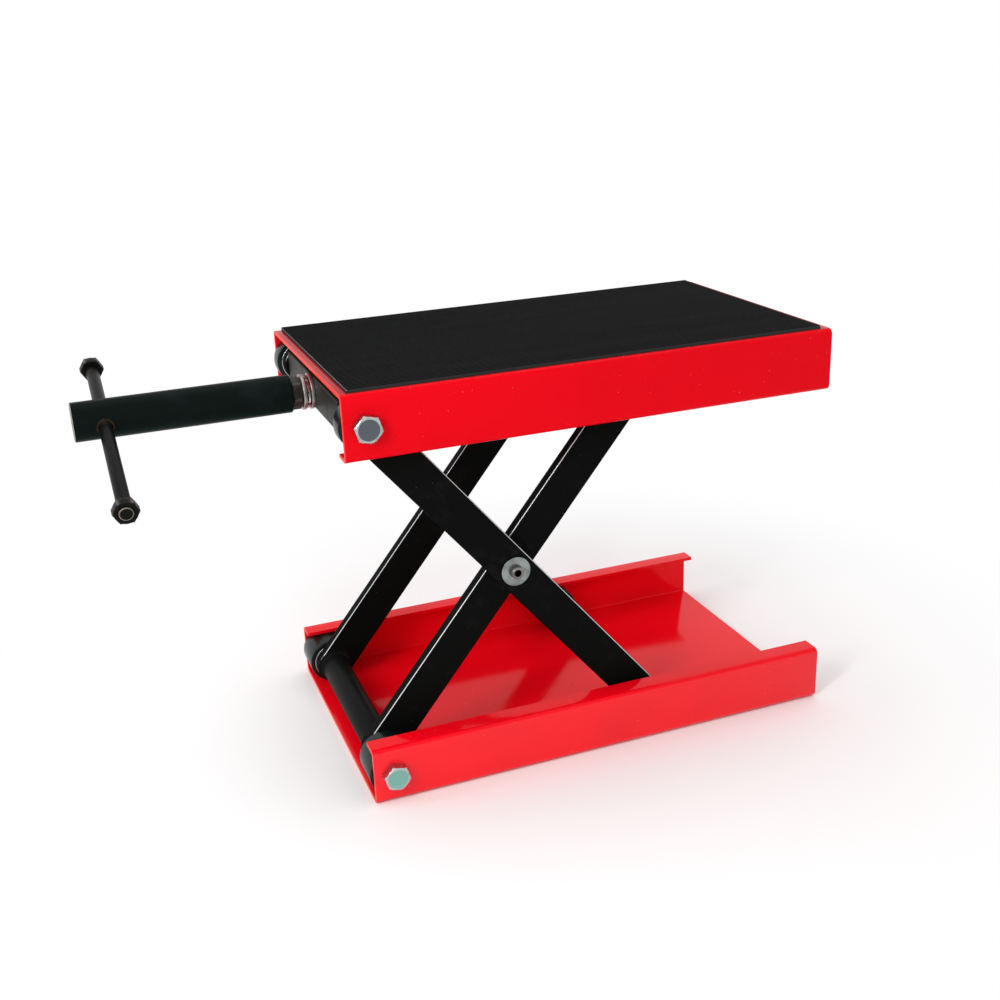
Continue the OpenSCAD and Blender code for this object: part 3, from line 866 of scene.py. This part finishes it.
class JACK_OT_pivot_bolts(PieceOperator, bpy.types.Operator):
    """Makes the hexagon bolts of the four fixed pivots"""

    bl_idname = "jack.pivot_bolts"
    bl_label = "Pivot bolts"

    def execute(self, context):
        s = sizes()
        # Each disc tone is a painted reflection on the bolts' flat faces: teal on the lower bolts, grey-blue on the
        # upper.
        for node, at, tone in (
            ("lower_pivot_bolts", LOWER_PIVOT, (0.22, 0.50, 0.43)),
            ("upper_pivot_bolts", UPPER_PIVOT, (0.11, 0.128, 0.14)),
        ):
            line = at * [1, 0, 1]
            disc = at, s.bolt_flats * BOLT_FACE - BOLT_RIM, tone
            shell = Shell()
            for points, outwards in either_side(node, line):
                inner, outer, _, _ = extent(points, line, outwards)
                under_head = outer - s.bolt_height
                seat = line + outwards * under_head
                head = points[np.abs(points[:, 1]) > under_head + 1 * MM]
                bolt_head(shell, seat, outwards, s.bolt_flats, s.bolt_height, corner_turn(head, line, outwards))
                shank = solid_profile(under_head - inner, s.bolt_diameter / 2, 0.6 * MM)
                turned(shell, shank, seat - outwards * 0.02 * MM, -outwards, 48)
            material = zinc(node.replace("bolts", "zinc"), [disc])
            shell.build(node.replace("bolts", "bolt_set"), material, node)
        return {"FINISHED"}


def rings(name, node, at, material, fillet):
    """A pair of rings on one cross axis, with rounded rims; lengths and radii are those of the CAD solids."""
    shell = Shell()
    line = at * [1, 0, 1]
    for points, outwards in either_side(node, line):
        if len(points):
            start, stop, bore, outer = extent(points, line, outwards)
            profile = ring_profile(stop - start, outer, bore, fillet, start, min(fillet, 0.3 * MM))
            turned(shell, profile, line, outwards, 96)
    shell.build(name, material, node)


class JACK_OT_rollers(PieceOperator, bpy.types.Operator):
    """Makes the fixed spacers, the four rollers and every washer beside them"""

    bl_idname = "jack.rollers"
    bl_label = "Spacers, rollers and washers"

    def execute(self, context):
        spacer = black_paint("spacer_paint", (0.0045, 0.0095, 0.0080), (0.012, 0.02, 0.018), 0.25, 0.1, 0.15)
        roller = black_paint("roller_finish", (0.0075, 0.0105, 0.0095), (0.02, 0.024, 0.022), 0.45, 0.2, 0.05)
        bright = zinc()
        pivots = {"lower": LOWER_PIVOT, "upper": UPPER_PIVOT}
        slides = {"lower": LOWER_SLIDE, "upper": UPPER_SLIDE}
        for level, at in pivots.items():
            rings(f"{level}_spacer_rings", f"{level}_pivot_spacers", at, spacer, 0.8 * MM)
        for level, at in slides.items():
            for side in ("near", "far"):
                name, node = f"{level}_roller_wheel_{side}", f"{level}_roller_{side}"
                rings(name, node, at, roller, 1.0 * MM)
        for kind, places in (("pivot", pivots), ("roller", slides)):
            for level, at in places.items():
                name = f"{level}_{kind}_washer"
                rings(f"{name}_pair", f"{name}s", at, bright, WASHER_FILLET)
        rings("arm_washer_pair", "arm_spacer_washers", CENTRE_PIVOT, bright, WASHER_FILLET)
        self.pins(bright)
        return {"FINISHED"}

    def pins(self, material):
        """The lower rollers' pins: round bars with rounded ends."""
        shell = Shell()
        for points, outwards in either_side("lower_roller_pins", LOWER_SLIDE):
            start, stop, _, radius = extent(points, LOWER_SLIDE, outwards)
            turned(shell, solid_profile(stop - start, radius, 0.6 * MM, start), LOWER_SLIDE, outwards, 64)
        shell.build("lower_roller_axles", material, "lower_roller_pins")


class JACK_OT_centre_pins(PieceOperator, bpy.types.Operator):
    """Makes the socket pins and washers where the arms cross"""

    bl_idname = "jack.centre_pins"
    bl_label = "Centre pins"

    def execute(self, context):
        s = sizes()
        line = CENTRE_PIVOT * [1, 0, 1]
        hexed = hexagon(s.socket_flats, 0.4)
        edge = s.socket_flats / math.sqrt(3) + 0.1 * MM

        def radius_at(radius, angle, along):
            return np.where(radius < edge, hexed(radius, angle, along), radius)

        shell = Shell()
        for points, outwards in either_side("centre_pins", line):
            start, stop, _, head = extent(points, line, outwards)
            tip = points[np.abs(points[:, 1]) > stop - 0.01 * MM]
            shank = max(extent(tip, line, outwards)[3], s.pin_diameter / 2)
            head_end, floor = start + s.pin_head, stop - s.socket_depth
            rounding = 1.1 * MM
            profile = np.concatenate(
                [
                    [[start, 0.0]],
                    corner(start + 0.5 * MM, head - 0.5 * MM, 0.5 * MM, 90)[::-1],
                    [[head_end, head], [head_end, shank]],
                    corner(stop - rounding, shank - rounding, rounding, 0, 8)[::-1],
                    [[stop, s.socket_flats / math.sqrt(3) + 0.5 * MM], [stop, edge + 0.02 * MM]],
                    [[stop - 0.25 * MM, edge - 0.05 * MM], [floor, edge - 0.05 * MM], [floor - 0.6 * MM, 0.0]],
                ]
            )
            turned(shell, profile, line, outwards, 96, radius_at)
        # Painted shade: the dark disc over the socket darkens its recess.
        steel = plated(
            "pin_turned_steel", (0.24, 0.225, 0.225), (0.13, 0.12, 0.12), 0.22, 700,
            [(CENTRE_PIVOT, edge, (0.006, 0.006, 0.006))],
        )
        shell.build("centre_socket_pins", steel, "centre_pins")
        washer = plated("centre_washer_zinc", (0.30, 0.33, 0.33), (0.20, 0.215, 0.215), 0.24, 800)
        rings("centre_washer_pair", "centre_washers", CENTRE_PIVOT, washer, 0.35 * MM)
        return {"FINISHED"}


class JACK_OT_cross_parts(PieceOperator, bpy.types.Operator):
    """Makes the welded cross bar, the screw's thrust block and its nut block"""

    bl_idname = "jack.cross_parts"
    bl_label = "Cross bar and blocks"

    def execute(self, context):
        part = black_paint("cross_bar_paint", (0.0065, 0.007, 0.0066), (0.018, 0.018, 0.017), 0.36, 0.03, 0.0)
        self.cross_bar(part)
        dull = black_paint("block_paint", (0.013, 0.0125, 0.0105), (0.028, 0.026, 0.02), 0.42, 0.14, 0.0)
        low, high = low_high("thrust_block")
        shell = Shell()
        half = (high[0] - low[0]) / 2
        square_bar(shell, middle("thrust_block"), half, low[1], high[1], BLOCK_CORNER, BLOCK_EDGE)
        shell.build("screw_thrust_bar", dull, "thrust_block")
        low, high = low_high("nut_block")
        shell = Shell()
        half, inner = (high[0] - low[0]) / 2, low_high("inner_arm_near")[1][1]
        square_bar(shell, UPPER_SLIDE, half, inner + 0.1 * MM, -inner - 0.1 * MM, BLOCK_CORNER, BLOCK_EDGE)
        radius = extent(corners("upper_roller_near"), UPPER_SLIDE, ALONG_Y)[2] - 0.05 * MM
        journal = solid_profile(high[1] + inner + 0.3 * MM, radius, 0.8 * MM, -inner - 0.2 * MM)
        for side in SIDES:
            turned(shell, journal, UPPER_SLIDE, (0, side, 0), 64)
        shell.build("screw_nut_bar", dull, "nut_block")
        return {"FINISHED"}

    def cross_bar(self, material):
        """A round bar with a rippled weld bead at each end: a quarter hollow whose radius waves along the turn."""
        low, high = low_high("lower_cross_bar")
        radius = (high[2] - low[2]) / 2
        shell = Shell()
        line = LOWER_PIVOT * [1, 0, 1]
        turned(shell, solid_profile(high[1] - low[1], radius, 0.3 * MM, low[1]), line, ALONG_Y, 96)
        bead, end, sunk = sizes().weld, high[1], radius - 0.5 * MM

        def ripple(r, angle, along):
            return r + np.where(r > radius + 0.1 * MM, 0.18 * MM * np.sin(23 * angle + 2 * np.sin(3 * angle)), 0)

        a = np.linspace(0, math.pi / 2, 7)
        hollow = np.stack([bead * (1 - np.cos(a)) ** 1.2, bead * (1 - np.sin(a)) ** 1.2], 1)
        bulge = np.stack([end - hollow[:, 0], radius + hollow[:, 1]], 1)
        profile = np.concatenate([[[end, sunk]], bulge, [[end - bead * 1.05, sunk], [end, sunk]]])
        for side in SIDES:
            turned(shell, profile, line, (0, side, 0), 144, ripple)
        shell.build("cross_bar_welded", material, "lower_cross_bar")


class JACK_OT_screw(PieceOperator, bpy.types.Operator):
    """Makes the lifting screw, its keeper ring, the ball bearing and the collar nut"""

    bl_idname = "jack.screw"
    bl_label = "Screw and bearing"

    def execute(self, context):
        self.screw()
        self.keeper()
        self.races()
        self.collar()
        return {"FINISHED"}

    def screw(self):
        """A journal, then a thread: the radius follows a trapezium wave of (length / pitch - turn), with run-outs."""
        low, high = low_high("drive_screw")
        pitch = sizes().screw_pitch
        keeper_end = low_high("screw_keeper_ring")[1][0]
        crest = (high[2] - low[2]) / 2
        core = crest - 0.55 * pitch
        journal = extent(corners("screw_keeper_ring"), SCREW_LINE, ALONG_X)[2] - 0.05 * MM
        x = np.linspace(keeper_end, high[0], int((high[0] - keeper_end) / pitch * 12))
        angle = np.arange(32) * TURN / 32
        phase = np.mod(x[:, None] / pitch - angle[None] / TURN, 1)
        wave = np.clip(np.abs(phase - 0.5) * 4 - 0.5, 0, 1)
        run_out = np.clip((x - keeper_end) / pitch - 0.5, 0, 1) * np.clip((high[0] - x) / pitch, 0, 1)
        r = core + (crest - core) * wave * run_out[:, None]
        r = np.minimum(r, core - 0.8 * MM + (high[0] - x)[:, None] * 1.2)
        p = np.stack([np.broadcast_to(x[:, None], r.shape), r * np.cos(angle), SCREW_Z + r * np.sin(angle)], -1)
        shell = Shell()
        ids = shell.grid(p, wrap_v=True)
        shell.cap(ids[0][:-1])
        shell.cap(ids[-1][:-1], True)
        turned(shell, solid_profile(keeper_end + 0.5 * MM - low[0], journal, 0.8 * MM, low[0]), SCREW_LINE, ALONG_X, 64)
        steel = greased_steel("greased_screw_steel", crest, core)
        shell.build("lifting_screw", steel, "drive_screw", SOFT_ANGLE)

    def keeper(self):
        """A plain ring on the journal."""
        start, stop, bore, outer = extent(corners("screw_keeper_ring"), SCREW_LINE, ALONG_X)
        shell = Shell()
        turned(shell, ring_profile(stop - start, outer, bore, 0.5 * MM, start, 0.2 * MM), SCREW_LINE, ALONG_X)
        steel = plated("keeper_steel", (0.30, 0.285, 0.26), (0.16, 0.15, 0.13), 0.26, 600)
        shell.build("keeper_ring", steel, "screw_keeper_ring")

    def races(self):
        """Two thrust rings, each with a round groove turned into the face that meets the balls."""
        low, high = low_high("bearing_balls")
        ball_x, ball = (low[0] + high[0]) / 2, (high[0] - low[0]) / 2
        ball_circle = (high[2] - low[2]) / 2 - ball
        steel = plated("race_steel", (0.46, 0.42, 0.40), (0.30, 0.27, 0.25), 0.34, 500)
        for name, node, facing in (
            ("fixed_race_ring", "bearing_fixed_race", -1),
            ("turning_race_ring", "bearing_turning_race", 1),
        ):
            start, stop, bore, outer = extent(corners(node), SCREW_LINE, ALONG_X)
            back, front = (stop, start) if facing < 0 else (start, stop)
            width, groove = stop - start, ball + 0.03 * MM
            half = math.sqrt(max(groove**2 - (front - ball_x) ** 2, (0.3 * MM) ** 2))
            widest = math.asin(min(half / groove, 1.0))
            a = np.linspace(widest, -widest, 11)
            dip = np.stack([width - groove * (np.cos(a) - math.cos(widest)), ball_circle + groove * np.sin(a)], 1)
            shell = Shell()
            profile = ring_profile(width, outer, bore, 0.45 * MM, groove=dip)
            turned(shell, profile, SCREW_LINE + [back, 0, 0], (facing, 0, 0), 96)
            shell.build(name, steel, node)

    def collar(self):
        """A hexagon collar with coned corners at both ends and a round spigot into the tube."""
        points = corners("collar_nut")
        low, high = low_high("collar_nut")
        tube_end = low_high("handle_tube")[1][0]
        _, _, bore, point_radius = extent(points, SCREW_LINE, ALONG_X)
        across = point_radius * math.sqrt(3)
        spigot = extent(points[points[:, 0] < tube_end - 1 * MM], SCREW_LINE, ALONG_X)[3]
        face = across / 2 - 0.2 * MM
        cone = (point_radius - face) * math.tan(math.radians(30))
        x = np.array([low[0], low[0] + 0.5 * MM, tube_end, tube_end, tube_end + cone, high[0] - cone, high[0], high[0]])
        r = np.array([spigot - 0.5 * MM, spigot, spigot, face, point_radius, point_radius, face, bore])
        profile = np.concatenate([np.stack([x, r], 1), [[low[0], bore], [low[0], spigot - 0.5 * MM]]])
        shell = Shell()
        shape = hexagon(across, corner_turn(points, SCREW_LINE, ALONG_X))
        turned(shell, profile, SCREW_LINE, ALONG_X, 144, shape, worn_corners(across))
        oiled = black_paint(
            "oiled_collar_steel", (0.016, 0.0145, 0.0125), (0.045, 0.034, 0.026), 0.36, 0.15, 0.05, 0.5,
            (0.14, 0.12, 0.10),
        )
        shell.build("hexagon_collar", oiled, "collar_nut")


class JACK_OT_handle(PieceOperator, bpy.types.Operator):
    """Makes the T-bar with its nuts, and paints the tube"""

    bl_idname = "jack.handle"
    bl_label = "Handle"

    def execute(self, context):
        start, stop, _, radius = extent(corners("t_bar"), T_BAR_CENTRE, T_BAR_AXIS)
        shell = Shell()

        def tips(r, along):
            ends = np.minimum(along - start, stop - along) < 0.55 * MM
            return np.where(ends & (r > radius - 0.75 * MM), 1.0, 0.0)

        profile = solid_profile(stop - start, radius, 0.7 * MM, start)
        turned(shell, profile, T_BAR_CENTRE, T_BAR_AXIS, 64, rim=tips)
        shell.build("t_bar_rod", nut_paint(), "t_bar")
        shell = Shell()
        for points, axis in either_side("t_bar_nuts", T_BAR_CENTRE, T_BAR_AXIS):
            near, far, bore, point_radius = extent(points, T_BAR_CENTRE, axis)
            across = point_radius * math.sqrt(3)
            height, face = far - near, across / 2 - 0.1 * MM
            cone = (point_radius - face) * math.tan(math.radians(30))
            profile = [
                [0, bore], [0, face], [cone, point_radius], [height - cone, point_radius], [height, face],
                [height, bore + 0.7 * MM], [height - 0.6 * MM, bore], [0, bore],
            ]
            shape = hexagon(across, corner_turn(points, T_BAR_CENTRE, axis))
            turned(shell, profile, T_BAR_CENTRE + axis * near, axis, 144, shape, worn_corners(across))
        shell.build("t_bar_hexagon_nuts", nut_paint(), "t_bar_nuts")
        ball_steel = plated("ball_steel", (0.85, 0.85, 0.84), (0.75, 0.75, 0.74), 0.06, 400)
        cage_metal = plated("cage_metal", (0.78, 0.76, 0.72), (0.55, 0.53, 0.50), 0.2, 500)
        for node, material in (
            ("handle_tube", handle_paint("handle_gloss")),
            ("bearing_balls", ball_steel),
            ("bearing_cage", cage_metal),
        ):
            mesh = frame["nodes"][node].data
            mesh.materials.clear()
            mesh.materials.append(material)
        return {"FINISHED"}


# ---------------------------------------------------------------- stage


CAMERA_PLACE = (-0.3841, -0.92545, 0.5599)
CAMERA_ANGLES = (20.196, -20.774, -2.361)
CAMERA_LENS = 44.73
WORLD_LIGHT = 0.78
# Distances from the middle at which the floor begins to turn white and is white.
FLOOR_FADE = (0.28, 0.55)
LAMP_TARGET = (0.0, 0.0, 0.16)
# Each lamp's name, place, size and power.
LAMPS = (
    ("top", (0.3, 0.4, 2.0), (1.6, 1.2), 8.0),
    ("key", (-0.95, -0.72, 0.84), (0.16, 0.6), 6.5),
    ("right", (1.9, 0.3, 0.6), (0.35, 1.3), 0.8),
    ("left", (-1.25, 0.12, 0.62), (0.3, 0.5), 1.6),
    ("front", (-0.6, -2.1, 0.6), (1.2, 0.6), 1.0),
)


class JACK_OT_stage(PieceOperator, bpy.types.Operator):
    """Sets the camera, the floor, the lamps and the world"""

    bl_idname = "jack.stage"
    bl_label = "Studio stage"

    def execute(self, context):
        scene = context.scene
        scene.view_settings.view_transform = "Standard"
        self.camera(scene)
        self.floor(scene)
        self.lamps(scene)
        self.world(scene)
        return {"FINISHED"}

    def camera(self, scene):
        """The camera: forward is worked out from azimuth and elevation, then right and up turn by the roll."""
        data = bpy.data.cameras.new("view")
        data.sensor_width, data.lens = 36.0, CAMERA_LENS
        data.clip_start, data.clip_end = 0.02, 50.0
        azimuth, elevation, roll = map(math.radians, CAMERA_ANGLES)
        forward = np.array(
            [math.cos(elevation) * math.sin(azimuth), math.cos(elevation) * math.cos(azimuth), math.sin(elevation)]
        )
        right = np.array([math.cos(azimuth), -math.sin(azimuth), 0.0])
        up = np.cross(right, forward)
        right, up = right * math.cos(roll) + up * math.sin(roll), up * math.cos(roll) - right * math.sin(roll)
        camera = bpy.data.objects.new("view", data)
        turn = Matrix(np.stack([right, up, -forward], 1).tolist()).to_4x4()
        camera.matrix_world = Matrix.Translation(CAMERA_PLACE) @ turn
        scene.collection.objects.link(camera)
        scene.camera = camera

    def floor(self, scene):
        """A wide pale floor under the base, which the camera sees as white away from the shadow."""
        reach, z = 40.0, CAD_BOX[0][2] - 0.4 * MM
        outline = [(-reach, -reach, z), (reach, -reach, z), (reach, reach, z), (-reach, reach, z)]
        mesh = bpy.data.meshes.new("floor")
        mesh.from_pydata(outline, [], [(0, 1, 2, 3)])
        f = Finish("floor_paper", Roughness=0.9, Specular_IOR_Level=0.0)
        f.shader.inputs["Base Color"].default_value = (*colours().floor, 1.0)
        away = (f.x * f.x + f.y * f.y).root().ramp(*FLOOR_FADE)
        white = f.node("ShaderNodeEmission", Color=(1, 1, 1, 1), Strength=1.0)
        share = seen_directly(f.tree) * away
        both = f.node("ShaderNodeMixShader", i0=share, i1=f.shader.outputs[0], i2=white.outputs[0])
        end = next(n for n in f.tree.nodes if n.type == "OUTPUT_MATERIAL")
        f.tree.links.new(both.outputs[0], end.inputs["Surface"])
        mesh.materials.append(f.material)
        floor = bpy.data.objects.new("floor", mesh)
        scene.collection.objects.link(floor)

    def lamps(self, scene):
        """Soft boxes: a wide one above, a key strip at the front left, strips at both ends and a low front fill."""
        for name, place, size, watts in LAMPS:
            data = bpy.data.lights.new(name, "AREA")
            data.shape, data.size, data.size_y, data.energy = "RECTANGLE", size[0], size[1], watts
            lamp = bpy.data.objects.new(name, data)
            lamp.location = place
            lamp.rotation_mode = "QUATERNION"
            lamp.rotation_quaternion = (Vector(LAMP_TARGET) - Vector(place)).to_track_quat("-Z", "Y")
            scene.collection.objects.link(lamp)

    def world(self, scene):
        """White to the camera and in reflections, and an even pale light on everything else."""
        world = bpy.data.worlds.new("studio")
        world.use_nodes = True
        tree = world.node_tree
        background = next(n for n in tree.nodes if n.type == "BACKGROUND")
        background.inputs["Color"].default_value = (1, 1, 1, 1)
        strength = WORLD_LIGHT + seen_directly(tree) * (1 - WORLD_LIGHT)
        tree.links.new(strength.socket, background.inputs["Strength"])
        scene.world = world


class JACK_PT_panel(bpy.types.Panel):
    """Lists the settings and the operators"""

    bl_label = "Scissor jack"
    bl_idname = "JACK_PT_panel"
    bl_space_type = "VIEW_3D"
    bl_region_type = "UI"
    bl_category = "Scissor jack"

    def draw(self, context):
        layout = self.layout
        for group in (context.scene.jack_sizes, context.scene.jack_colours):
            for name in group.__annotations__:
                layout.prop(group, name)
        for operator in OPERATORS:
            layout.operator(operator.bl_idname)


OPERATORS = (
    JACK_OT_stage,
    JACK_OT_channels,
    JACK_OT_mat,
    JACK_OT_arms,
    JACK_OT_pivot_bolts,
    JACK_OT_rollers,
    JACK_OT_centre_pins,
    JACK_OT_cross_parts,
    JACK_OT_screw,
    JACK_OT_handle,
)
CLASSES = (JackSizes, JackColours, *OPERATORS, JACK_PT_panel)


def register():
    """Registers the classes and the scene settings."""
    for cls in CLASSES:
        bpy.utils.register_class(cls)
    bpy.types.Scene.jack_sizes = PointerProperty(type=JackSizes)
    bpy.types.Scene.jack_colours = PointerProperty(type=JackColours)


def unregister():
    """Removes the scene settings and the classes."""
    del bpy.types.Scene.jack_sizes, bpy.types.Scene.jack_colours
    for cls in reversed(CLASSES):
        bpy.utils.unregister_class(cls)


def main():
    """Registers the add-on, makes every piece and writes the two boxes."""
    register()
    for operator in OPERATORS:
        group, name = operator.bl_idname.split(".")
        getattr(getattr(bpy.ops, group), name)()


if __name__ == "__main__":
    main()
